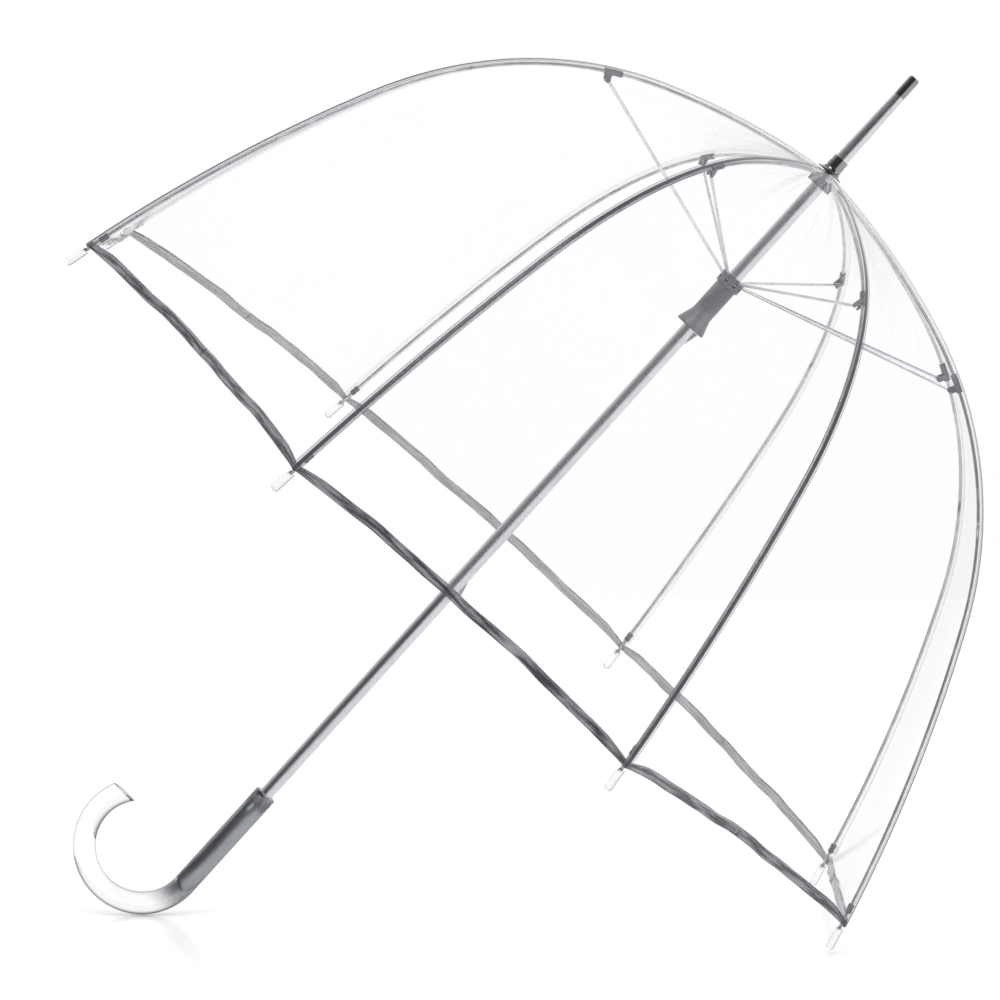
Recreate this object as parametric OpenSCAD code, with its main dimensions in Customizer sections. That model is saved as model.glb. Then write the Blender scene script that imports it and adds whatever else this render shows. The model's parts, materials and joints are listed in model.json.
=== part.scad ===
// Clear bubble umbrella, open, with its shaft upright and its handle down.
// The origin is on the shaft's axis, at the middle of the handle's straight grip.
// Each rib is drawn in its own half plane as [radius, depth below the canopy's top].

/* [Ribs] */
// Number of ribs and canopy panels
rib_count = 8; // [6:1:8]
// Slope of a rib where it leaves the crown, in degrees below level
rib_slope = 6.4; // [4:0.1:9]
// Length of the stretch beside the crown
root_len = 150; // [125:1:180]
// Turn of that stretch, in degrees
root_turn = 12.6; // [10:0.1:15]
// Length of the shoulder stretch that carries the stretcher clip
shoulder_len = 64; // [56:1:76]
// Turn of the shoulder stretch, in degrees
shoulder_turn = 11.4; // [9.5:0.1:13.6]
// Length of the knee, where a rib turns down most
knee_len = 180; // [150:1:216]
// Turn of the knee, in degrees
knee_turn = 32.5; // [27:0.1:38]
// Length of the skirt stretch, from the knee to the hem
skirt_len = 255; // [212:1:306]
// Turn of the skirt stretch, in degrees
skirt_turn = 12.0; // [10:0.1:15]
// Diameter of a rib's rod
rib_d = 2.8; // [2.4:0.1:3.2]

/* [Crown, stretchers and runner] */
// Radius of the wire rings that the ribs and the stretchers turn on
ring_r = 8.5; // [8:0.1:10.2]
// Diameter of those wires
wire_d = 1.0; // [0.8:0.1:1.2]
// Distance along the rib from its start to its stretcher clip
clip_at = 200; // [167:1:204]
// Distance from the rib's centre in to the stretcher's pin
clip_drop = 6.4; // [5.8:0.1:7.6]
// Length of the clip's body
clip_len = 22; // [16:1:26]
// Diameter of a stretcher's rod
stretcher_d = 2.4; // [2:0.1:2.6]
// Width of the flat eyes at the ends of the ribs and the stretchers
eye_w = 2.0; // [1.6:0.1:2.2]
// Length of the runner below its ring of pins
runner_len = 50; // [42:1:60]
// Radius of the runner's skirt at its lower end
runner_skirt_r = 13; // [11:0.1:14]
// Angle that is left between a folded rib and the shaft, in degrees
closed_lean = 2.0; // [1.5:0.1:4]

/* [Shaft and ferrule] */
// Outer diameter of the shaft
shaft_d = 11.6; // [9.7:0.1:12.4]
// Wall of the shaft's tube
shaft_wall = 0.8; // [0.6:0.1:1.2]
// Depth of the handle's rim below the canopy's top
rim_depth = 668; // [650:1:800]
// Length of the ferrule's tube above its collar
ferrule_len = 68; // [56:1:82]
// Diameter of the ferrule's tube at its top
ferrule_top_d = 9.2; // [8.4:0.1:9.8]
// Length of the dark cap on the ferrule
ferrule_cap_len = 19; // [15:1:23]
// Height of the flared collar over the canopy
collar_h = 15; // [13:1:18]
// Diameter of the collar's foot
collar_d = 23; // [20:0.5:26]

/* [Handle] */
// Length of the handle's straight grip
grip_len = 99; // [83:1:119]
// Diameter of the handle's rod
handle_d = 18.6; // [16:0.1:22]
// Radius of the crook's centre line
crook_r = 46.5; // [39:0.5:56]
// Height of the crook's flat end over the crook's centre
crook_end = 23.6; // [15:0.1:26]
// Depth of the shaft inside the handle
socket_depth = 92; // [70:1:99]

/* [Canopy] */
// Thickness of the film's solid
film_t = 0.8; // [0.6:0.1:1.2]
// Height of the film's inner face over a rib's centre
film_gap = 3.2; // [3.1:0.1:3.8]
// Share of a panel's width by which it sags in between two ribs
film_sag = 0.025; // [0:0.005:0.03]
// Width of the hem's binding
hem_w = 8; // [6:0.5:10]
// Thickness of the hem's binding
hem_t = 2.4; // [1.6:0.1:3]
// Rise of the hem's middle over its ends
hem_rise = 8; // [4:0.5:12]
// Length of a rib's clear tip cap
tip_len = 18.5; // [14:0.5:24]
// Diameter of a rib's clear tip cap
tip_d = 6.2; // [5:0.1:7]

/* [Hidden] */
$fn = 48;
RIBS = [for (k = [1:rib_count]) k];

SLIDE = 0.25;                  // radial play of the runner on the shaft
PLAY = 0.3;                    // radial play of an eye on its wire or pin
SIDE_PLAY = 0.25;              // play on each side of an eye in its slot
SEAT = 0.05;                   // gap round a part that is glued or pressed in
STEEL = "silver";
PLASTIC = "dimgray";

top_z = rim_depth + grip_len / 2;              // height of the canopy's top
shaft_r = shaft_d / 2;
rib_r = rib_d / 2;
sector = 360 / rib_count;
eye_r = wire_d / 2 + PLAY + 1.1;
function azimuth(k) = sector * (k - 0.5);

// The rib's line is four arcs that run into each other.
LENS = [root_len, shoulder_len, knee_len, skirt_len];
TURNS = [root_turn, shoulder_turn, knee_turn, skirt_turn];
rib_top = -2.4;                                // depth of the rib's line at ring_r
function first(i) = i == 0 ? 0 : first(i - 1) + LENS[i - 1];
function slope_at(i) = i == 0 ? rib_slope : slope_at(i - 1) + TURNS[i - 1];
function bend(i) = LENS[i] / (TURNS[i] * PI / 180);
function along(i, a, b) = bend(i) * [sin(b) - sin(a), cos(a) - cos(b)];
function knot(i) = i == 0 ? [ring_r, rib_top]
    : knot(i - 1) + along(i - 1, slope_at(i - 1), slope_at(i));
function arc_of(s) = s < first(1) ? 0 : s < first(2) ? 1 : s < first(3) ? 2 : 3;
function slope(s) = let (i = arc_of(s)) slope_at(i) + TURNS[i] * (s - first(i)) / LENS[i];
function rib(s) = let (i = arc_of(s)) knot(i) + along(i, slope_at(i), slope(s));
function off_rib(s, d) = rib(s) + d * [sin(slope(s)), -cos(slope(s))];
rib_len = first(3) + skirt_len;
hem_s = rib_len - 3;                           // the hem's lower edge at a rib

// The fold is two equal links on each side, so the runner travels straight.
ring_w = 3.2;                                  // depth of the crown's wire
clip_pin = off_rib(clip_at, -clip_drop);
link = norm(clip_pin - [ring_r, ring_w]);      // crown wire to clip pin, and clip pin to runner wire
open_angle = atan2(clip_pin[1] - ring_w, clip_pin[0] - ring_r);
fold = 90 - closed_lean - open_angle;
runner_w = 2 * clip_pin[1] - ring_w;           // depth of the runner's wire, open
runner_closed_w = ring_w + 2 * link * cos(closed_lean);
runner_end_w = runner_w + runner_len;
runner_r = shaft_r + 3.2;

catch_h = 12;                                  // height of a catch's wedge
catch_t = 1.4;
catch_out = 3.2;                               // how far a catch stands out of the shaft
open_catch_w = runner_end_w + 0.6;
window_h = catch_h + 1.6;                      // window of the runner that the lower catch enters
window_w = runner_len - window_h - 2;
closed_catch_w = runner_closed_w + window_w + 0.8;

module at_depth(w) {
    translate([0, 0, top_z - w]) children();
}

module in_rib_plane(k) {
    rotate([0, 0, azimuth(k)]) children();
}

// Puts children at a point of the half plane, with +X along a slope below level.
module place(p, angle) {
    translate([p[0], 0, top_z - p[1]]) rotate([0, angle, 0]) children();
}

module ring_solid(r_out, r_in, h) {
    difference() {
        cylinder(r = r_out, h = h);
        translate([0, 0, -1]) cylinder(r = r_in, h = h + 2);
    }
}

// A stretch of the rib's line from s1 to s2, which lie in one arc.
module bent_rod(s1, s2, r) {
    i = arc_of((s1 + s2) / 2);
    a = slope_at(i) + TURNS[i] * (s1 - first(i)) / LENS[i];
    b = slope_at(i) + TURNS[i] * (s2 - first(i)) / LENS[i];
    centre = knot(i) - bend(i) * [sin(slope_at(i)), -cos(slope_at(i))];
    translate([centre[0], 0, top_z - centre[1]])
        rotate([90, 0, 0])
        rotate([0, 0, 90 - b])
        rotate_extrude(angle = b - a, $fn = 360)
        translate([bend(i), 0]) circle(r = r, $fn = 32);
}

// A round swage that takes in the ends of two stretches of rod.
module swage(p) {
    translate([p[0], 0, top_z - p[1]]) sphere(r = SWAGE, $fn = 32);
}

// A barrel across the half plane, which a wire or a pin goes through.
module barrel(p, r, w) {
    translate([p[0], 0, top_z - p[1]]) rotate([90, 0, 0]) cylinder(r = r, h = w, center = true);
}

SWAGE = 1.9;                   // radius of a swage on a rib
KNUCKLE = 1.7;                 // radius of the barrel where two links of a rib meet
KNUCKLE_W = 3.4;               // width of that barrel
LINK_GAP = 2.1;                // the next link starts this far from the barrel's axis
ROD_START = 9;                 // a rib's rod starts this far from the crown's ring

module rib_upper(k) {
    root = [ring_r, ring_w];
    rod = rib(ROD_START);
    arm = norm(rod - root);
    color(STEEL) in_rib_plane(k) difference() {
        union() {
            barrel(root, eye_r, eye_w);
            place(root, atan2(rod[1] - root[1], rod[0] - root[0]))
                translate([0, -eye_w / 2, -0.8]) cube([arm, eye_w, 1.6]);
            swage(rod);
            bent_rod(ROD_START, first(1) - 0.3, rib_r);
            swage(knot(1));
            bent_rod(first(1) + 0.3, first(2), rib_r);
            barrel(knot(2), KNUCKLE, KNUCKLE_W);
        }
        barrel(root, wire_d / 2 + PLAY, eye_w + 1);
    }
}

module rib_middle(k) {
    color(STEEL) in_rib_plane(k) {
        bent_rod(first(2) + LINK_GAP, first(3), rib_r);
        barrel(knot(3), KNUCKLE, KNUCKLE_W);
    }
}

module rib_lower(k) {
    color(STEEL) in_rib_plane(k) bent_rod(first(3) + LINK_GAP, rib_len, rib_r);
}

module stretcher(k) {
    a = [ring_r, runner_w];
    b = clip_pin;
    color(STEEL) in_rib_plane(k) difference() {
        union() {
            barrel(a, eye_r, eye_w);
            barrel(b, eye_r, eye_w);
            place(a, atan2(b[1] - a[1], b[0] - a[0]))
                rotate([0, 90, 0]) cylinder(d = stretcher_d, h = norm(b - a));
        }
        barrel(a, wire_d / 2 + PLAY, stretcher_d + 2);
        barrel(b, wire_d / 2 + PLAY, stretcher_d + 2);
    }
}

module stretcher_clip(k) {
    ear_gap = max(eye_w, stretcher_d) / 2 + SIDE_PLAY;
    ear_t = 1;
    ear_r = eye_r + 0.3;
    color(PLASTIC) in_rib_plane(k) {
        difference() {
            union() {
                bent_rod(clip_at - clip_len / 2, clip_at + clip_len / 2 - 7, rib_r + 1.1);
                for (side = [-1, 1])
                    place(clip_pin, slope(clip_at))
                        translate([-ear_r, side * (ear_gap + ear_t / 2) - ear_t / 2, 0])
                        cube([2 * ear_r, ear_t, clip_drop]);
                for (side = [-1, 1])
                    translate([0, side * (ear_gap + ear_t / 2), 0]) barrel(clip_pin, ear_r, ear_t);
            }
            bent_rod(clip_at - clip_len / 2 - 2, clip_at + clip_len / 2, rib_r + SEAT);
        }
        barrel(clip_pin, wire_d / 2, 2 * (ear_gap + ear_t));
    }
}

module rib_tip(k) {
    start = rib_len - 1.4;
    color("gainsboro", 0.5) in_rib_plane(k) place(rib(start), slope(start))
        rotate([0, 90, 0]) difference() {
            union() {
                cylinder(d = tip_d, h = tip_len - 1);
                cylinder(d = tip_d - 1.6, h = tip_len);
            }
            translate([0, 0, -1]) cylinder(r = rib_r + SEAT, h = 4);
        }
}

module shaft_tube() {
    low = rim_depth + socket_depth;
    color(STEEL) difference() {
        at_depth(low) ring_solid(shaft_r, shaft_r - shaft_wall, low + collar_foot);
        for (w = [open_catch_w, closed_catch_w])
            at_depth(w + catch_h + 0.5)
                translate([0, -catch_t / 2 - 0.2, 0])
                cube([shaft_r + 2, catch_t + 0.4, catch_h + 1]);
    }
}

collar_foot = film_gap + film_t - rib_top + 0.4;   // the collar's foot stands this far over depth 0
collar_groove_w = 1.2;

// The collar flares to its foot in a quarter round, under two ring grooves.
module ferrule_collar() {
    neck_r = shaft_r + 1.1;
    flare = collar_d / 2 - neck_r;
    color("gray") at_depth(-collar_foot) difference() {
        rotate_extrude() difference() {
            translate([shaft_r + SEAT, 0]) square([collar_d / 2 - shaft_r - SEAT, collar_h]);
            translate([neck_r + flare, flare + 1]) circle(r = flare, $fn = 64);
            translate([neck_r, flare + 1]) square([flare + 1, collar_h]);
            for (n = [0, 1])
                translate([neck_r - 0.5, collar_h - 2.2 - n * 2 * collar_groove_w])
                    square([1, collar_groove_w]);
        }
    }
}

module ferrule_tube() {
    plug = 8;
    color(STEEL) at_depth(-collar_foot - collar_h) {
        translate([0, 0, SEAT]) difference() {
            cylinder(r1 = shaft_r - 0.2, d2 = ferrule_top_d, h = ferrule_len);
            translate([0, 0, ferrule_len - plug]) cylinder(d = ferrule_top_d - 3, h = plug + 1);
        }
    }
}

module ferrule_cap() {
    plug = 7;
    foot = collar_foot + collar_h + ferrule_len + 2 * SEAT;
    color("black") at_depth(-foot) difference() {
        union() {
            cylinder(d = ferrule_top_d, h = ferrule_cap_len - 1);
            cylinder(d = ferrule_top_d - 1.4, h = ferrule_cap_len);
            translate([0, 0, -plug]) cylinder(d = ferrule_top_d - 3 - 2 * SEAT, h = plug + 1);
        }
        translate([0, 0, ferrule_cap_len - 2.5]) cylinder(d = 3, h = 4);
    }
}

// The crook is swept past its end and cut off level.
module crook_handle() {
    socket_z = grip_len / 2 - socket_depth;
    over = 45;
    color("whitesmoke", 0.6) difference() {
        union() {
            translate([0, 0, -grip_len / 2]) cylinder(d = handle_d, h = grip_len, $fn = 72);
            translate([-crook_r, 0, -grip_len / 2]) rotate([-90, 0, 0])
                rotate_extrude(angle = 180 + over, $fn = 72)
                translate([crook_r, 0]) circle(d = handle_d, $fn = 72);
        }
        translate([-2 * crook_r, 0, crook_end + crook_r - grip_len / 2])
            cube([2 * crook_r - 40, 4 * handle_d, 2 * crook_r], center = true);
        translate([0, 0, socket_z]) cylinder(r = shaft_r + SEAT, h = socket_depth + 1);
        translate([0, 0, grip_len / 2 - 1.5]) cylinder(r = shaft_r + 1.2, h = 3);
    }
}

// Eight radial slots hold the eyes, and a groove holds the wire that they turn on.
module slotted_ring(r_out, r_in, h, up) {
    slot_w = max(eye_w, stretcher_d) + 2 * SIDE_PLAY;
    clear = eye_r + 0.4;
    difference() {
        ring_solid(r_out, r_in, h);
        for (k = RIBS)
            in_rib_plane(k)
                translate([ring_r - clear, -slot_w / 2, -1])
                cube([r_out, slot_w, h + 2]);
        translate([0, 0, up]) rotate_extrude() translate([ring_r, 0]) circle(d = wire_d + 0.2, $fn = 24);
    }
}

module wire_ring(w) {
    at_depth(w) rotate_extrude() translate([ring_r, 0]) circle(d = wire_d, $fn = 24);
}

ring_h = 7;                    // height of the two slotted rings

module crown_notch() {
    color(PLASTIC) at_depth(ring_w + ring_h / 2)
        slotted_ring(ring_r + 2.2, shaft_r + SEAT, ring_h, ring_h / 2);
}

module crown_wire() {
    color(STEEL) wire_ring(ring_w);
}

module runner() {
    skirt_h = 14;
    color(PLASTIC) difference() {
        union() {
            at_depth(runner_w + ring_h / 2)
                slotted_ring(ring_r + 2.2, shaft_r + SLIDE, ring_h, ring_h / 2);
            at_depth(runner_end_w)
                ring_solid(runner_r, shaft_r + SLIDE, runner_len - ring_h / 2);
            at_depth(runner_w + ring_h / 2 + 3)
                ring_solid(ring_r + 2.2, shaft_r + SLIDE, 3);
            at_depth(runner_end_w) rotate_extrude() polygon([
                [runner_r - 0.5, 0], [runner_skirt_r, 0], [runner_skirt_r, 1.5],
                [runner_r, skirt_h], [runner_r - 0.5, skirt_h]
            ]);
        }
        at_depth(runner_w + window_w + window_h)
            translate([0, -catch_t / 2 - 0.8, 0])
            cube([runner_skirt_r + 2, catch_t + 1.6, window_h]);
    }
    color(STEEL) wire_ring(runner_w);
}

// A sheet-steel wedge that stands out of a slot in the shaft, square end first.
module catch_wedge(w, ledge_up) {
    foot = shaft_r - shaft_wall - 1.6;
    tip = shaft_r + catch_out;
    color(STEEL) at_depth(w + catch_h) rotate([90, 0, 0])
        linear_extrude(height = catch_t, center = true)
        polygon(ledge_up ? [[foot, 0], [shaft_r, 0], [tip, catch_h], [foot, catch_h]]
            : [[foot, 0], [tip, 0], [shaft_r, catch_h], [foot, catch_h]]);
}

module open_catch() {
    catch_wedge(open_catch_w, true);
}

module closed_catch() {
    catch_wedge(closed_catch_w, false);
}

// One panel between two ribs, as a closed skin
function panel_width(s) = 2 * rib(s)[0] * sin(sector / 2);
function panel_point(s, u, d) =
    let (
        p = off_rib(s, d),
        half = p[0] * sin(sector / 2),
        sag = film_sag * panel_width(s) * 4 * u * (1 - u)
    )
    [p[0] * cos(sector / 2) - sag * sin(slope(s)), (2 * u - 1) * half, top_z - p[1] - sag * cos(slope(s))];
function arch(u) = pow(max(0, sin(180 * u)), 0.7);
function hem_edge(u) = hem_s - hem_rise * arch(u);

SEAM = 0.3;                    // half of the gap between two panels' solids
ACROSS = 6;                    // columns of a panel
ROW = 26;                      // a panel's rows are no longer than this
function column(j, s) = let (e = SEAM / panel_width(s)) e + (1 - 2 * e) * j / ACROSS;

module panel(from_s, to_s, rows, d_in, d_out) {
    n = ACROSS + 1;
    m = (rows + 1) * n;
    points = [
        for (d = [d_in, d_out]) for (i = [0:rows]) for (j = [0:ACROSS])
            let (
                u = j / ACROSS,
                lo = from_s < 0 ? hem_edge(u) + from_s : from_s,
                hi = hem_edge(u) + to_s,
                s = lo + (hi - lo) * i / rows
            )
            panel_point(s, column(j, s), d)
    ];
    skin = [for (i = [0:rows - 1]) for (j = [0:ACROSS - 1]) let (a = i * n + j) [a, a + 1, a + n + 1, a + n]];
    sides = concat(
        [for (i = [0:rows - 1]) i * n],
        [for (j = [0:ACROSS - 1]) rows * n + j],
        [for (i = [rows:-1:1]) i * n + ACROSS],
        [for (j = [ACROSS:-1:1]) j]
    );
    walls = [for (q = [0:len(sides) - 1]) let (a = sides[q], b = sides[(q + 1) % len(sides)]) [a, b, b + m, a + m]];
    polyhedron(
        points = points,
        faces = concat(
            split([for (f = skin) [f[3], f[2], f[1], f[0]]]),
            split([for (f = skin) [f[0] + m, f[1] + m, f[2] + m, f[3] + m]]),
            split(walls)
        )
    );
}

function split(quads) = [for (q = quads) for (t = [[q[0], q[1], q[2]], [q[0], q[2], q[3]]]) t];

module canopy() {
    color("gainsboro", 0.3) for (k = RIBS) rotate([0, 0, sector * k])
        panel(0, -hem_w - 0.1, ceil(hem_s / ROW), film_gap, film_gap + film_t);
}

module hem() {
    low = film_gap - (hem_t - film_t) / 2 + 0.4;
    color("dimgray") for (k = RIBS) rotate([0, 0, sector * k])
        panel(-hem_w, 0, 1, low, low + hem_t);
}

shaft_tube();
ferrule_collar();
ferrule_tube();
ferrule_cap();
crook_handle();
crown_notch();
crown_wire();
runner();
open_catch();
closed_catch();
canopy();
hem();
for (k = RIBS) {
    rib_upper(k);
    rib_middle(k);
    rib_lower(k);
    stretcher(k);
    stretcher_clip(k);
    rib_tip(k);
}
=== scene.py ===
import json
import math
import bmesh
import bpy
from mathutils import Matrix, Vector


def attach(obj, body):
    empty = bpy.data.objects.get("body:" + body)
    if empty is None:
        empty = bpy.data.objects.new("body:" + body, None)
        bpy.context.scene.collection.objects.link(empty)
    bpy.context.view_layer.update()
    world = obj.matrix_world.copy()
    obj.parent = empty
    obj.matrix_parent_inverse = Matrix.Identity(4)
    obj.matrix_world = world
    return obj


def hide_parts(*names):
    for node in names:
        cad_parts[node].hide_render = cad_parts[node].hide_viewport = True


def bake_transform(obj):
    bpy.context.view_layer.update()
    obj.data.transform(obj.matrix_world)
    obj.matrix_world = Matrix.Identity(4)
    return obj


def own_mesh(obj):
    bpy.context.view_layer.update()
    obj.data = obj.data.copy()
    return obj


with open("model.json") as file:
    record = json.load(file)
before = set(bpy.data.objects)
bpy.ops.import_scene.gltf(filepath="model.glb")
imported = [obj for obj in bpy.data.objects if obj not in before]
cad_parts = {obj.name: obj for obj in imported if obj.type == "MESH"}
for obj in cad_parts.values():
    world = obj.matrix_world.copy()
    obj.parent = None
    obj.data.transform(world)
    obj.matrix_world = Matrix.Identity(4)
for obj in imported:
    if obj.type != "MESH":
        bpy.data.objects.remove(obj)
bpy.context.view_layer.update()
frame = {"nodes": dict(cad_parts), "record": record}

# A clear bubble umbrella on a pale studio floor.
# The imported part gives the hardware. The film, its welds, the hem, the rib rods and the crook are made here.

# ---------------------------------------------------------------- sizes, in metres
RIBS = range(1, 9)
SECTOR = math.radians(45)
TOP_Z = 0.7175                  # height of the canopy's top
RING_R, RIB_TOP = 0.0085, -0.0024
RIB_SLOPE = 6.4
ARCS = ((0.150, 12.6), (0.064, 11.4), (0.180, 32.5), (0.255, 12.0))
KNEE, SKIRT, RIB_END = 0.214, 0.394, 0.649
HEM_S, HEM_W, HEM_RISE = 0.646, 0.008, 0.008
FILM_LIFT, FILM_SAG = 0.0036, 0.025
ROD_R = 0.0014
ROD_START = 0.009               # the rods start this far along the rib
SPLICE = 0.313                  # where the two blended rods of a rib meet, between its hinges
BEND_REACH = 0.008              # a rod bends over this far either side of a hinge
WELD_W = 0.0076
CROWN_RING_W = 0.0032
HANDLE_R, GRIP, CROOK_R, CROOK_END = 0.0093, 0.099, 0.0465, 0.0236
CORE_R = 0.0062                 # dark core that shows through the clear grip
RIM_R, RECESS_R, RECESS_DEPTH = 0.0088, 0.0072, 0.0012


def azimuth(k):
    return SECTOR * (k - 0.5)


def rib_line(s):
    """Radius, depth below the top and slope of a rib's centre, at length s along it."""
    r, w, slope = RING_R, RIB_TOP, math.radians(RIB_SLOPE)
    for length, turn in ARCS:
        turn = math.radians(turn)
        step = min(s, length)
        after = slope + turn * step / length
        r += length / turn * (math.sin(after) - math.sin(slope))
        w += length / turn * (math.cos(slope) - math.cos(after))
        slope, s = after, s - step
        if s <= 0:
            break
    return r + max(s, 0) * math.cos(slope), w + max(s, 0) * math.sin(slope), slope


def on_rib(k, s, lift=0.0, aside=0.0):
    """A point over rib k, lifted off its outer side and moved aside round the dome."""
    r, w, slope = rib_line(s)
    r, w = r + lift * math.sin(slope), w - lift * math.cos(slope)
    a = azimuth(k)
    return Vector((r * math.cos(a) - aside * math.sin(a), r * math.sin(a) + aside * math.cos(a), TOP_Z - w))


def on_film(k, side, s, across, lift=FILM_LIFT):
    """A point on the film. across is 0 at rib k and 1 in the middle of the panel on that side."""
    r, w, slope = rib_line(s)
    r, w = r + lift * math.sin(slope), w - lift * math.cos(slope)
    middle, half = azimuth(k) + side * SECTOR / 2, r * math.sin(SECTOR / 2)
    sag = FILM_SAG * 2 * half * across * (2 - across)
    out, along = r * math.cos(SECTOR / 2) - sag * math.sin(slope), -side * (1 - across) * half
    return Vector((
        out * math.cos(middle) - along * math.sin(middle),
        out * math.sin(middle) + along * math.cos(middle),
        TOP_Z - w - sag * math.cos(slope)))


def turn_at(k, side, across):
    return azimuth(k) + side * across * SECTOR / 2


def ripple(turn):
    """The hem's slight waver round the dome, from -1 to 1."""
    return 0.55 * math.sin(19 * turn + 0.7) + 0.3 * math.sin(37 * turn + 2.1) + 0.15 * math.sin(71 * turn)


def hem_line(k, side, across):
    arch = math.sin(math.pi * across / 2) ** 0.7
    return HEM_S - HEM_RISE * arch + 0.0012 * arch * ripple(turn_at(k, side, across))


# ---------------------------------------------------------------- node helpers
def add(tree, kind, inputs=None, **settings):
    made = tree.nodes.new("ShaderNode" + kind)
    for name, value in settings.items():
        setattr(made, name, value)
    for name, value in (inputs or {}).items():
        if isinstance(value, bpy.types.NodeSocket):
            tree.links.new(value, made.inputs[name])
        else:
            made.inputs[name].default_value = value
    return made


def new_group(name, inputs, outputs):
    group = bpy.data.node_groups.new(name, "ShaderNodeTree")
    for label, value in inputs:
        socket = group.interface.new_socket(name=label, in_out="INPUT", socket_type="NodeSocketFloat")
        socket.default_value = value
    for label in outputs:
        group.interface.new_socket(name=label, in_out="OUTPUT", socket_type="NodeSocketFloat")
    return group, group.nodes.new("NodeGroupInput"), group.nodes.new("NodeGroupOutput")


def ramp(tree, value, low, high, to_low=0.0, to_high=1.0):
    made = add(tree, "MapRange", {"Value": value}, interpolation_type="SMOOTHSTEP")
    for name, number in (("From Min", low), ("From Max", high), ("To Min", to_low), ("To Max", to_high)):
        made.inputs[name].default_value = number
    return made.outputs["Result"]


def maths(tree, operation, a, b=0.0):
    return add(tree, "Math", {0: a, 1: b}, operation=operation).outputs[0]


# Fine grain and soft scuffs on metal and on moulded plastic. On the rib steel the soft patches are lighter and are
# painted sheen, not wear.
def build_marks_and_sheen():
    group, given, out = new_group(
        "marks_and_sheen", [("Grain Across", 600.0), ("Grain Along", 600.0), ("Scuff Size", 40.0)], ["Grain", "Scuffs And Sheen"])
    place = add(group, "TexCoord").outputs["Object"]
    stretch = add(group, "CombineXYZ", {0: given.outputs[0], 1: given.outputs[0], 2: given.outputs[1]})
    fine = add(group, "VectorMath", {0: place, 1: stretch.outputs[0]}, operation="MULTIPLY").outputs[0]
    grain = add(group, "TexNoise", {"Vector": fine, "Scale": 1.0, "Detail": 3.0})
    group.links.new(grain.outputs["Fac"], out.inputs["Grain"])
    broad = add(group, "TexNoise", {"Vector": place, "Scale": given.outputs[2], "Detail": 5.0, "Roughness": 0.65})
    group.links.new(ramp(group, broad.outputs["Fac"], 0.42, 0.72), out.inputs["Scuffs And Sheen"])
    return group


# Creases that run from the crown towards the hem, strongest beside the crown.
def build_film_creases():
    group, given, out = new_group(
        "film_creases", [("Count", 26.0), ("Reach", 0.16)], ["Creases", "Height", "Haze"])
    uv = add(group, "UVMap", uv_map="flow").outputs[0]
    parts = add(group, "SeparateXYZ", {0: uv})
    turns, along = parts.outputs[0], parts.outputs[1]
    # round the dome on a circle, so that the pattern closes on itself
    angle = maths(group, "MULTIPLY", turns, 2 * math.pi)
    ring = add(group, "CombineXYZ", {
        0: maths(group, "MULTIPLY", maths(group, "COSINE", angle), given.outputs[0]),
        1: maths(group, "MULTIPLY", maths(group, "SINE", angle), given.outputs[0]),
        2: maths(group, "MULTIPLY", along, 5.0)}).outputs[0]
    rays = add(group, "TexNoise", {"Vector": ring, "Scale": 1.0, "Detail": 2.5, "Roughness": 0.5, "Distortion": 0.15})
    sharp = ramp(group, rays.outputs["Fac"], 0.44, 0.74)
    near = maths(group, "SUBTRACT", 1.0, add(
        group, "MapRange", {"Value": along, "From Max": given.outputs[1]}, interpolation_type="SMOOTHSTEP").outputs[0])
    group.links.new(maths(group, "MULTIPLY", sharp, near), out.inputs["Creases"])
    swell = maths(group, "MULTIPLY", rays.outputs["Fac"], maths(group, "ADD", near, 0.12))
    group.links.new(swell, out.inputs["Height"])
    cloud = add(group, "TexNoise", {
        "Vector": add(group, "TexCoord").outputs["Object"], "Scale": 6.0, "Detail": 2.0}).outputs["Fac"]
    group.links.new(ramp(group, cloud, 0.4, 0.75), out.inputs["Haze"])
    return group


MARKS, CREASES = build_marks_and_sheen(), build_film_creases()


def placed(tree, group, **values):
    made = tree.nodes.new("ShaderNodeGroup")
    made.node_tree = group
    for name, value in values.items():
        made.inputs[name.replace("_", " ")].default_value = value
    return made


def new_material(name, **plain):
    """A Principled material. plain sets the shader's own sockets."""
    made = bpy.data.materials.new(name)
    made.use_nodes = True
    tree = made.node_tree
    tree.nodes.clear()
    shader = add(tree, "BsdfPrincipled")
    out = add(tree, "OutputMaterial")
    tree.links.new(shader.outputs[0], out.inputs["Surface"])
    for key, value in plain.items():
        shader.inputs[key.replace("_", " ")].default_value = value
    return made, tree, shader


def tint_between(tree, mask, a, b):
    made = add(tree, "Mix", data_type="RGBA")
    tree.links.new(mask, made.inputs["Factor"])
    made.inputs[6].default_value, made.inputs[7].default_value = (*a, 1), (*b, 1)
    return made.outputs[2]


def marked_material(name, clean, worn_and_sheen, rough, rough_change, grain, bump, **plain):
    """Metal or plastic whose colour, gloss and surface carry handling marks; on the rib steel the lighter marks are
    painted sheen, not wear.
    """
    made, tree, shader = new_material(name, **plain)
    marks = placed(tree, MARKS, Grain_Across=grain[0], Grain_Along=grain[1], Scuff_Size=grain[2])
    tree.links.new(tint_between(tree, marks.outputs["Scuffs And Sheen"], clean, worn_and_sheen), shader.inputs["Base Color"])
    blend = maths(tree, "ADD", maths(tree, "MULTIPLY", marks.outputs["Grain"], 0.5),
                  maths(tree, "MULTIPLY", marks.outputs["Scuffs And Sheen"], 0.5))
    tree.links.new(ramp(tree, blend, 0.0, 1.0, rough, rough + rough_change), shader.inputs["Roughness"])
    relief = add(tree, "Bump", {"Height": marks.outputs["Grain"], "Strength": bump, "Distance": 0.0002})
    tree.links.new(relief.outputs[0], shader.inputs["Normal"])
    return made


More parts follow.
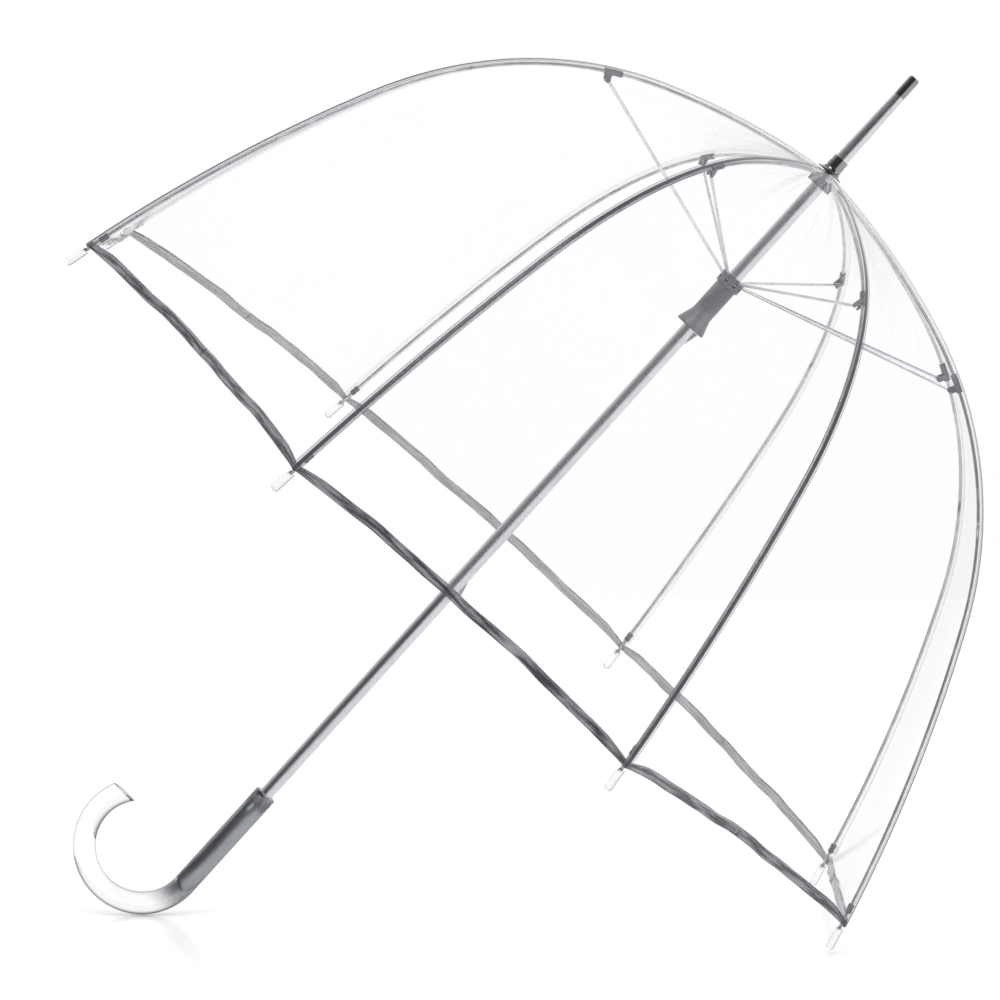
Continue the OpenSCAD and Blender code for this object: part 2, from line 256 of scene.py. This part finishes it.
# ---------------------------------------------------------------- finishes
shaft_steel = marked_material(
    "satin_shaft_steel", (0.60, 0.61, 0.635), (0.52, 0.53, 0.555), 0.24, 0.14, (900, 12, 30), 0.08, Metallic=1.0)
# The rib steel's lighter patches are painted sheen: they stand in for the pale, broken look that the film's haze gives
# the ribs.
rib_steel = marked_material(
    "grey_rib_steel", (0.40, 0.41, 0.43), (0.62, 0.63, 0.65), 0.26, 0.2, (700, 700, 60), 0.1, Metallic=0.9)
stretcher_steel = marked_material(
    "drawn_wire_steel", (0.62, 0.63, 0.66), (0.50, 0.51, 0.54), 0.22, 0.18, (800, 800, 60), 0.1, Metallic=1.0)
spring_steel = marked_material(
    "spring_steel", (0.66, 0.67, 0.69), (0.52, 0.53, 0.55), 0.2, 0.2, (800, 30, 60), 0.08, Metallic=1.0)
dark_chrome = marked_material(
    "dark_chrome", (0.29, 0.28, 0.29), (0.23, 0.22, 0.23), 0.1, 0.1, (500, 500, 50), 0.03, Metallic=1.0)
dark_plastic = marked_material(
    "slate_moulded_plastic", (0.07, 0.075, 0.09), (0.15, 0.155, 0.17), 0.28, 0.2, (1400, 1400, 70), 0.25)


def clear_material(name, clean, worn_and_sheen, rough, rough_change, grain, bump, rim, ior):
    """Clear plastic with a painted darker rim: painted shade at grazing angles, where light leaves it sideways."""
    made = marked_material(name, clean, worn_and_sheen, rough, rough_change, grain, bump, Transmission_Weight=1.0, IOR=ior)
    tree = made.node_tree
    shader = next(n for n in tree.nodes if n.type == "BSDF_PRINCIPLED")
    tint = shader.inputs["Base Color"].links[0].from_socket
    mix = add(tree, "Mix", {6: tint}, data_type="RGBA")
    facing = add(tree, "LayerWeight", {"Blend": 0.5}).outputs["Facing"]
    tree.links.new(ramp(tree, facing, 0.25, 0.9), mix.inputs["Factor"])
    mix.inputs[7].default_value = (*rim, 1)
    tree.links.new(mix.outputs[2], shader.inputs["Base Color"])
    return made


tip_plastic = clear_material(
    "clear_moulded_tip", (0.96, 0.97, 0.98), (0.90, 0.91, 0.93), 0.06, 0.14, (900, 900, 80), 0.1,
    (0.5, 0.51, 0.53), 1.46)
acrylic = clear_material(
    "clear_cast_acrylic", (0.975, 0.98, 0.985), (0.955, 0.96, 0.965), 0.0, 0.05, (120, 120, 18), 0.02,
    (0.10, 0.105, 0.12), 1.49)


def film_material():
    made, tree, shader = new_material("clear_film", IOR=1.5, Specular_IOR_Level=0.5)
    creases = placed(tree, CREASES, Count=13.0, Reach=0.26)
    # The rim at grazing angles is painted: alpha rises and the colour greys there, a painted sheen for the film's
    # reflection.
    edge = ramp(tree, add(tree, "LayerWeight", {"Blend": 0.5}).outputs["Facing"], 0.62, 1.0)
    streaks = maths(tree, "MULTIPLY", creases.outputs["Creases"], 0.6)
    haze = maths(tree, "MULTIPLY", creases.outputs["Haze"], 0.03)
    rim = maths(tree, "MULTIPLY", edge, 0.42)
    cover = maths(tree, "ADD", maths(tree, "ADD", streaks, haze), maths(tree, "ADD", rim, 0.07))
    tree.links.new(maths(tree, "MINIMUM", cover, 0.8), shader.inputs["Alpha"])
    tree.links.new(tint_between(tree, maths(tree, "MAXIMUM", creases.outputs["Creases"], edge),
                                (0.90, 0.91, 0.92), (0.42, 0.43, 0.45)), shader.inputs["Base Color"])
    tree.links.new(ramp(tree, creases.outputs["Creases"], 0.0, 1.0, 0.09, 0.22), shader.inputs["Roughness"])
    relief = add(tree, "Bump", {"Height": creases.outputs["Height"], "Strength": 0.6, "Distance": 0.002})
    tree.links.new(relief.outputs[0], shader.inputs["Normal"])
    return made


def weld_material():
    """The doubled, welded film over a rib, smoky with darker edges outside. From outside its middle is painted dark,
    painted shade over the rib; from inside the band is painted milky, painted light for the film's haze.
    """
    made, tree, shader = new_material("welded_film_band", IOR=1.5)
    uv = add(tree, "SeparateXYZ", {0: add(tree, "UVMap", uv_map="flow").outputs[0]})
    away = maths(tree, "ABSOLUTE", maths(tree, "SUBTRACT", uv.outputs[0], 0.5))
    edge = ramp(tree, away, 0.34, 0.46)
    lines = add(tree, "TexNoise", {"Scale": 1.0, "Detail": 4.0, "Vector": add(tree, "CombineXYZ", {
        0: maths(tree, "MULTIPLY", uv.outputs[0], 9.0), 1: maths(tree, "MULTIPLY", uv.outputs[1], 26.0)}).outputs[0]})
    # Which side faces the camera picks the painted shade outside or the painted light copy inside.
    inside = add(tree, "NewGeometry").outputs["Backfacing"]
    # The middle is painted shade over the rib: dark and nearly opaque from outside, taken away again from inside.
    middle = ramp(tree, away, 0.27, 0.15)
    streaks = maths(tree, "MAXIMUM", edge, maths(tree, "MULTIPLY", lines.outputs["Fac"], 0.3))
    shade = tint_between(tree, maths(tree, "MAXIMUM", streaks, middle), (0.22, 0.225, 0.245), (0.05, 0.054, 0.064))
    mix = add(tree, "Mix", {6: shade}, data_type="RGBA")
    tree.links.new(inside, mix.inputs["Factor"])
    mix.inputs[7].default_value = (0.74, 0.75, 0.77, 1)
    tree.links.new(mix.outputs[2], shader.inputs["Base Color"])
    cover = maths(tree, "ADD", maths(tree, "MULTIPLY", edge, 0.3), maths(tree, "MULTIPLY", lines.outputs["Fac"], 0.34))
    outer = maths(tree, "ADD", maths(tree, "ADD", cover, 0.18), maths(tree, "MULTIPLY", middle, 0.66))
    drop = maths(tree, "MULTIPLY", inside, maths(tree, "ADD", maths(tree, "MULTIPLY", middle, -0.66), -0.12))
    tree.links.new(maths(tree, "ADD", outer, drop), shader.inputs["Alpha"])
    tree.links.new(ramp(tree, lines.outputs["Fac"], 0.3, 0.8, 0.14, 0.32), shader.inputs["Roughness"])
    relief = add(tree, "Bump", {"Height": lines.outputs["Fac"], "Strength": 0.4, "Distance": 0.0006})
    tree.links.new(relief.outputs[0], shader.inputs["Normal"])
    return made


def hem_material(name, light, dark, cover_low, cover_high):
    """The folded binding, with streaks that run along it."""
    made, tree, shader = new_material(name, IOR=1.5)
    uv = add(tree, "SeparateXYZ", {0: add(tree, "UVMap", uv_map="flow").outputs[0]})
    angle = maths(tree, "MULTIPLY", uv.outputs[0], 2 * math.pi)
    streak = add(tree, "TexNoise", {"Scale": 1.0, "Detail": 5.0, "Roughness": 0.6, "Vector": add(tree, "CombineXYZ", {
        0: maths(tree, "MULTIPLY", maths(tree, "COSINE", angle), 14.0),
        1: maths(tree, "MULTIPLY", maths(tree, "SINE", angle), 14.0),
        2: maths(tree, "MULTIPLY", uv.outputs[1], 3.4)}).outputs[0]})
    mask = ramp(tree, streak.outputs["Fac"], 0.4, 0.64)
    tree.links.new(tint_between(tree, mask, dark, light), shader.inputs["Base Color"])
    tree.links.new(ramp(tree, streak.outputs["Fac"], 0.38, 0.66, cover_high, cover_low), shader.inputs["Alpha"])
    tree.links.new(ramp(tree, streak.outputs["Fac"], 0.3, 0.7, 0.16, 0.4), shader.inputs["Roughness"])
    relief = add(tree, "Bump", {"Height": streak.outputs["Fac"], "Strength": 0.7, "Distance": 0.0012})
    tree.links.new(relief.outputs[0], shader.inputs["Normal"])
    return made


film = film_material()
weld = weld_material()
# The hem's own smoke colour is outside; its inner faces get a pale, thin copy, painted light for the far hem seen
# through the film's haze.
hem_outer = hem_material("smoke_hem_outer", (0.13, 0.137, 0.155), (0.03, 0.034, 0.042), 0.78, 0.97)
hem_inner = hem_material("painted_light_hem_inner", (0.80, 0.81, 0.83), (0.50, 0.51, 0.53), 0.2, 0.5)


# ---------------------------------------------------------------- mesh helpers
def finished(name, bm, body, materials, smooth=True):
    """Turns a bmesh into a piece that rides on a body."""
    mesh = bpy.data.meshes.new(name)
    bm.to_mesh(mesh)
    bm.free()
    for face in mesh.polygons:
        face.use_smooth = smooth
    for item in materials:
        mesh.materials.append(item)
    piece = bpy.data.objects.new(name, mesh)
    bpy.context.scene.collection.objects.link(piece)
    if body:
        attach(piece, body)
    return piece


def shaped_grid(across, along, place, flow):
    """A grid whose points go to place(a, b), with a flow map from flow(a, b); both run from 0 to 1."""
    bm = bmesh.new()
    bmesh.ops.create_grid(bm, x_segments=across, y_segments=along, size=0.5)
    spots = {v: (v.co.x + 0.5, v.co.y + 0.5) for v in bm.verts}
    layer = bm.loops.layers.uv.new("flow")
    for face in bm.faces:
        for loop in face.loops:
            loop[layer].uv = flow(*spots[loop.vert])
    for v, (a, b) in spots.items():
        v.co = place(a, b)
    bm.normal_update()
    outward = sum(f.normal.dot(Vector((f.calc_center_median().x, f.calc_center_median().y, 0.25))) for f in bm.faces)
    if outward < 0:
        bmesh.ops.reverse_faces(bm, faces=bm.faces[:])
    return bm


def swept_rod(stations, sides, caps=True):
    """A round rod through stations of (centre, direction, radius), drawn out ring by ring."""
    bm = bmesh.new()

    def ring_frame(centre, direction, radius):
        turn = direction.to_track_quat("Z", "Y").to_matrix().to_4x4()
        return Matrix.Translation(centre) @ turn @ Matrix.Diagonal((radius, radius, radius, 1))

    here = ring_frame(*stations[0])
    ring = bmesh.ops.create_circle(bm, cap_ends=caps, segments=sides, radius=1.0, matrix=here)
    edges = [e for e in bm.edges if all(v in ring["verts"] for v in e.verts)]
    edges = [e for e in edges if len(e.link_faces) < 2]
    for station in stations[1:]:
        drawn = bmesh.ops.extrude_edge_only(bm, edges=edges)["geom"]
        verts = [v for v in drawn if isinstance(v, bmesh.types.BMVert)]
        edges = [e for e in drawn if isinstance(e, bmesh.types.BMEdge)]
        there = ring_frame(*station)
        bmesh.ops.transform(bm, matrix=there @ here.inverted(), verts=verts)
        here = there
    if caps:
        bmesh.ops.contextual_create(bm, geom=edges)
    bmesh.ops.recalc_face_normals(bm, faces=bm.faces[:])
    return bm


# ---------------------------------------------------------------- film, welds and hem
LINKS = (("upper", 0.0, KNEE, 22), ("middle", KNEE, SKIRT, 14), ("lower", SKIRT, None, 20))
# how far a patch's edge drops towards the panel's middle, so that it stays square to its rib
SLANT = {0.0: 0.0, KNEE: 0.014, SKIRT: 0.025}


def fold_axis(k, side, start, end):
    """The direction in which a film patch reaches from its rib towards the panel's middle, square to the rib's chord.
    """
    chord = (on_rib(k, end) - on_rib(k, start)).normalized()
    reach = on_film(k, side, (start + end) / 2, 1.0) - on_film(k, side, (start + end) / 2, 0.0)
    return (reach - reach.dot(chord) * chord).normalized()


def film_patch(k, side, link, start, end, rows):
    def length(a, b):
        stop = hem_line(k, side, a) - HEM_W * 0.5 if end is None else end + SLANT[end] * a
        return (start + SLANT[start] * a) * (1 - b) + stop * b

    def place(a, b):
        return on_film(k, side, length(a, b), a)

    def flow(a, b):
        return turn_at(k, side, a) / (2 * math.pi), length(a, b)

    name = f"film_{k}_{'left' if side < 0 else 'right'}_{link}"
    piece = finished(name, shaped_grid(8, rows, place, flow), f"rib_{k}_{link}", [film])
    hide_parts("canopy")
    stop = end or HEM_S
    fold_axis(k, side, start, stop)
    on_film(k, side, (start + stop) / 2, 0.0)
    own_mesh(piece)
    return piece


def hem_piece(k, side):
    """Half a panel's binding, folded flat, pinched beside the rib's tip."""
    def place(a, b):
        edge = hem_line(k, side, a)
        width = HEM_W * (0.62 + 0.38 * min(1.0, a * 7))
        bulge = 0.0007 * math.sin(math.pi * b) + 0.0003 * ripple(2.3 * turn_at(k, side, a) + 4 * b)
        return on_film(k, side, edge - width * (1 - b), a, FILM_LIFT - 0.0004 + bulge)

    def flow(a, b):
        return turn_at(k, side, a) / (2 * math.pi), b

    bm = shaped_grid(28, 5, place, flow)
    bmesh.ops.solidify(bm, geom=bm.faces[:], thickness=0.0016)
    bm.normal_update()
    middle = turn_at(k, side, 0.5)
    out = Vector((math.cos(middle), math.sin(middle), 0.3))
    for face in bm.faces:
        # Outward faces get the smoke binding, inward faces its painted light copy.
        face.material_index = 0 if face.normal.dot(out) > -0.2 else 1
    name = f"hem_{k}_{'left' if side < 0 else 'right'}"
    piece = finished(name, bm, f"rib_{k}_lower", [hem_outer, hem_inner])
    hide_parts("hem")
    fold_axis(k, side, SKIRT, HEM_S)
    on_film(k, side, (SKIRT + HEM_S) / 2, 0.0)
    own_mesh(piece)
    return piece


def weld_band(k, part, start, end, joint_s):
    """The welded seam over a rib, across one of its two hinges."""
    def place(x, y):
        s = start + (end - start) * y
        aside = (x - 0.5) * WELD_W * min(1.0, 0.35 + s / 0.05)
        drop = 0.40 * (math.hypot(aside, 0.0012) - 0.0012)
        point = on_rib(k, s, FILM_LIFT + 0.0005, aside)
        a_k = azimuth(k)
        return point - drop * Vector((math.cos(a_k), math.sin(a_k), 0))

    bm = shaped_grid(6, 26, place, lambda x, y: (x, (start + (end - start) * y) * 10))
    piece = finished(f"weld_{k}_{part}", bm, None, [weld])
    on_rib(k, joint_s - BEND_REACH)
    on_rib(k, joint_s + BEND_REACH)
    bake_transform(piece)
    return piece


for k in RIBS:
    welds = [
        weld_band(k, "top", 0.006, (KNEE + SKIRT) / 2, KNEE),
        weld_band(k, "low", (KNEE + SKIRT) / 2, HEM_S - 0.001, SKIRT)]
    for side in (-1, 1):
        for link, start, end, rows in LINKS:
            patch = film_patch(k, side, link, start, end, rows)
            stop = end + SLANT[end] if end else HEM_S
            widest = rib_line(stop)[0] * math.sin(SECTOR / 2) + 0.004
            going = [hem_piece(k, side)] if end is None else []


# ---------------------------------------------------------------- rib rods
def rod_station(k, s, radius=ROD_R):
    a, slope = azimuth(k), rib_line(s)[2]
    way = Vector((math.cos(a) * math.cos(slope), math.sin(a) * math.cos(slope), -math.sin(slope)))
    return on_rib(k, s), way, radius


def root_station(k, share):
    """The flat root between the crown's wire and the start of the rod."""
    a, (end_r, end_w, _) = azimuth(k), rib_line(ROD_START)
    r, w = RING_R + (end_r - RING_R) * share, CROWN_RING_W + (end_w - CROWN_RING_W) * share
    rise = math.atan2(end_w - CROWN_RING_W, end_r - RING_R)
    way = Vector((math.cos(a) * math.cos(rise), math.sin(a) * math.cos(rise), -math.sin(rise)))
    return Vector((r * math.cos(a), r * math.sin(a), TOP_Z - w)), way, 0.0009


def rib_rod(k, part, stations, joint_s, stands_for):
    piece = finished(f"rod_{k}_{part}", swept_rod(stations, 12), None, [rib_steel])
    on_rib(k, joint_s - BEND_REACH)
    on_rib(k, joint_s + BEND_REACH)
    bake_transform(piece)
    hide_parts(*stands_for)


def rib_ferrule(k, s, length, radius):
    """A small crimped sleeve on a rib, just above the hem."""
    marks = ((0.0, 0.8), (0.08, 1.0), (0.4, 1.0), (0.45, 0.88), (0.55, 0.88), (0.6, 1.0), (0.92, 1.0), (1.0, 0.8))
    stations = [rod_station(k, s + length * m, radius * share) for m, share in marks]
    finished(f"rib_sleeve_{k}", swept_rod(stations, 16), f"rib_{k}_lower", [dark_plastic])


for k in RIBS:
    upper = [ROD_START + 0.012 * i for i in range(26)]
    upper = [s for s in upper if s < SPLICE - 0.001] + [SPLICE]
    lower = [SPLICE + 0.012 * i for i in range(28) if SPLICE + 0.012 * i < RIB_END - 0.004] + [RIB_END]
    rib_rod(k, "top", [root_station(k, 0.0), root_station(k, 0.9)] + [rod_station(k, s) for s in upper],
            KNEE, [f"rib_{k}_upper", f"rib_{k}_middle"])
    rib_rod(k, "low", [rod_station(k, s) for s in lower],
            SKIRT, [f"rib_{k}_lower"])
    rib_ferrule(k, HEM_S - 0.019, 0.008, 0.0025)


# ---------------------------------------------------------------- crook handle
def crook_rod():
    """A cast rod round the end of the shaft, bent to a crook and cut off level."""
    bm = bmesh.new()
    rim_z, low_z = GRIP / 2, -GRIP / 2
    bmesh.ops.create_circle(bm, segments=64, radius=RIM_R, matrix=Matrix.Translation((0, 0, rim_z)))
    edges = bm.edges[:]

    def draw(z, radius, before):
        nonlocal edges
        made = bmesh.ops.extrude_edge_only(bm, edges=edges)["geom"]
        verts = [v for v in made if isinstance(v, bmesh.types.BMVert)]
        edges = [e for e in made if isinstance(e, bmesh.types.BMEdge)]
        middle = sum((v.co for v in verts), Vector()) / len(verts)
        bmesh.ops.scale(bm, vec=(radius / before, radius / before, 1), verts=verts, space=Matrix.Translation(-middle))
        bmesh.ops.translate(bm, vec=(0, 0, z - middle.z), verts=verts)

    # the recess round the shaft at the rim
    rim_edges = edges
    draw(rim_z, RECESS_R, RIM_R)
    draw(rim_z - RECESS_DEPTH, RECESS_R - 0.0002, RECESS_R)
    bmesh.ops.contextual_create(bm, geom=edges)
    edges = rim_edges
    draw(rim_z - 0.0005, HANDLE_R, RIM_R)
    for share in (0.02, 0.25, 0.5, 0.75, 1.0):
        draw(rim_z + (low_z - rim_z) * share, HANDLE_R, HANDLE_R)
    bmesh.ops.spin(
        bm, geom=edges, cent=(-CROOK_R, 0, low_z), axis=(0, 1, 0), dvec=(0, 0, 0),
        angle=math.radians(225), steps=75, use_merge=False, use_duplicate=False)
    cut_z = low_z + CROOK_END
    far = {v for v in bm.verts if v.co.x < -CROOK_R + 0.022 and v.co.z > low_z}
    far_faces = [f for f in bm.faces if all(v in far for v in f.verts)]
    geom = list(far) + list({e for f in far_faces for e in f.edges}) + far_faces
    bmesh.ops.bisect_plane(bm, geom=geom, dist=1e-6, plane_co=(0, 0, cut_z), plane_no=(0, 0, 1), clear_outer=True)
    open_edges = [e for e in bm.edges if e.is_boundary]
    bmesh.ops.contextual_create(bm, geom=open_edges)
    bmesh.ops.recalc_face_normals(bm, faces=bm.faces[:])
    sharp = [e for e in bm.edges if len(e.link_faces) == 2 and e.calc_face_angle(0) > 0.9
             and all(abs(v.co.z - cut_z) < 1e-5 and v.co.x < -0.02 for v in e.verts)]
    bmesh.ops.bevel(
        bm, geom=sharp, offset=0.0005, offset_type="OFFSET", segments=2, profile=0.5, affect="EDGES", material=-1)
    piece = finished("crook_rod", bm, "shaft", [acrylic])
    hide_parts("crook_handle")


crook_rod()


def core_material():
    """The dark core in the grip, which fades out where the crook bends away."""
    made, tree, shader = new_material("smoked_grip_core", Metallic=0.9)
    marks = placed(tree, MARKS, Grain_Across=500, Grain_Along=14, Scuff_Size=24)
    tree.links.new(tint_between(tree, marks.outputs["Scuffs And Sheen"], (0.40, 0.415, 0.45), (0.33, 0.345, 0.38)),
                   shader.inputs["Base Color"])
    tree.links.new(ramp(tree, marks.outputs["Grain"], 0.2, 0.8, 0.36, 0.46), shader.inputs["Roughness"])
    height = add(tree, "SeparateXYZ", {0: add(tree, "TexCoord").outputs["Object"]}).outputs[2]
    tree.links.new(ramp(tree, height, -GRIP / 2 - 0.032, -GRIP / 2 + 0.005), shader.inputs["Alpha"])
    relief = add(tree, "Bump", {"Height": marks.outputs["Grain"], "Strength": 0.06, "Distance": 0.0002})
    tree.links.new(relief.outputs[0], shader.inputs["Normal"])
    return made


def grip_core():
    stations = [(Vector((0, 0, z)), Vector((0, 0, -1)), CORE_R) for z in (GRIP / 2 - 0.0014, GRIP / 4, 0, -GRIP / 4)]
    for i in range(13):
        t = math.radians(4 * i)
        stations.append((Vector((CROOK_R * (math.cos(t) - 1), 0, -GRIP / 2 - CROOK_R * math.sin(t))),
                         Vector((-math.sin(t), 0, -math.cos(t))), CORE_R * (1 - 0.012 * i)))
    finished("grip_core", swept_rod(stations, 32), "shaft", [core_material()])


grip_core()

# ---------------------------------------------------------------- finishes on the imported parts
BY_SLOT = {
    "rib_steel": rib_steel, "stretcher_steel": stretcher_steel, "shaft_steel": shaft_steel,
    "dark_chrome": dark_chrome, "dark_plastic": dark_plastic, "spring_steel": spring_steel,
    "clear_plastic": tip_plastic, "clear_acrylic": acrylic, "clear_film": film, "smoke_binding": hem_outer}
for entry in frame["record"]["subparts"]:
    part = frame["nodes"][entry["node"]]
    for part_slot in part.material_slots:
        part_slot.material = BY_SLOT[entry["material_slot"]]

# ---------------------------------------------------------------- floor, light and camera
FLOOR_TILT = math.radians(41.7)
floor_up = Vector((-math.sin(FLOOR_TILT), 0, math.cos(FLOOR_TILT)))
floor_point = floor_up * -0.0621


def floor_material():
    made, tree, shader = new_material("pale_studio_floor", Base_Color=(0.9, 0.9, 0.9, 1), Roughness=0.2, IOR=1.35)
    shader.inputs["Emission Color"].default_value = (1, 1, 1, 1)
    shader.inputs["Emission Strength"].default_value = 0.1
    out = tree.nodes["Material Output"]
    clear = add(tree, "BsdfTransparent")
    back = add(tree, "NewGeometry").outputs["Backfacing"]
    mix = add(tree, "MixShader", {0: back, 1: shader.outputs[0], 2: clear.outputs[0]})
    tree.links.new(mix.outputs[0], out.inputs["Surface"])
    return made


def studio_floor():
    bm = bmesh.new()
    centre = Vector((0.16, 0.0, 0.1))
    centre -= floor_up * (centre - floor_point).dot(floor_up)
    turn = floor_up.to_track_quat("Z", "Y").to_matrix().to_4x4()
    bmesh.ops.create_grid(bm, x_segments=2, y_segments=2, size=2.6, matrix=Matrix.Translation(centre) @ turn)
    mesh = bpy.data.meshes.new("studio_floor")
    bm.to_mesh(mesh)
    bm.free()
    mesh.materials.append(floor_material())
    made = bpy.data.objects.new("studio_floor", mesh)
    bpy.context.scene.collection.objects.link(made)


def studio_world():
    """White to the eye; in reflections bright behind and above, and dim where the camera stands."""
    world = bpy.data.worlds.new("studio")
    world.use_nodes = True
    tree = world.node_tree
    tree.nodes.clear()
    way = add(tree, "SeparateXYZ", {0: add(tree, "TexCoord").outputs["Generated"]})
    rays = add(tree, "LightPath")
    mirrored = ramp(tree, way.outputs[1], -0.7, 0.8, 0.10, 1.0)
    bent = ramp(tree, way.outputs[1], 0.5, 0.985, 0.08, 1.0)
    level = add(tree, "Mix", {"Factor": rays.outputs["Is Transmission Ray"], "A": mirrored, "B": bent}).outputs[0]
    plain = maths(tree, "MAXIMUM", rays.outputs["Is Camera Ray"], rays.outputs["Is Diffuse Ray"])
    level = add(tree, "Mix", {"Factor": plain, "A": level, "B": 1.0}).outputs[0]
    shade = add(tree, "CombineColor", {0: level, 1: level, 2: level})
    light = add(tree, "Background", {"Color": shade.outputs[0], "Strength": 1.0})
    out = add(tree, "OutputWorld")
    tree.links.new(light.outputs[0], out.inputs["Surface"])
    bpy.context.scene.world = world


def softbox(name, place, target, size, energy):
    data = bpy.data.lights.new(name, "AREA")
    data.shape, data.size, data.size_y, data.energy = "RECTANGLE", size[0], size[1], energy
    lamp = bpy.data.objects.new(name, data)
    lamp.location = place
    lamp.rotation_euler = (Vector(target) - Vector(place)).to_track_quat("-Z", "Y").to_euler()
    lamp.visible_camera = False
    bpy.context.scene.collection.objects.link(lamp)


def studio_camera():
    ahead = Vector((0.04222, 0.9964, -0.07355)).normalized()
    right = ahead.cross(Vector((-0.6687, 0.0829, 0.7389))).normalized()
    up = right.cross(ahead)
    data = bpy.data.cameras.new("camera")
    data.lens, data.sensor_width = 198.98, 36
    data.clip_start, data.clip_end = 0.1, 60
    lens = bpy.data.objects.new("camera", data)
    lens.matrix_world = Matrix.Translation((-0.2072, -4.4269, 0.6803)) @ Matrix(
        (right, up, -ahead)).transposed().to_4x4()
    bpy.context.scene.collection.objects.link(lens)
    bpy.context.scene.camera = lens


studio_floor()
studio_world()
softbox("key_box", (-1.6, -1.4, 2.2), (0, 0, 0.4), (1.4, 1.4), 26)
softbox("fill_box", (2.0, -1.0, 1.4), (0, 0, 0.4), (0.8, 1.8), 16)
studio_camera()
bpy.context.scene.view_settings.view_transform = "Standard"
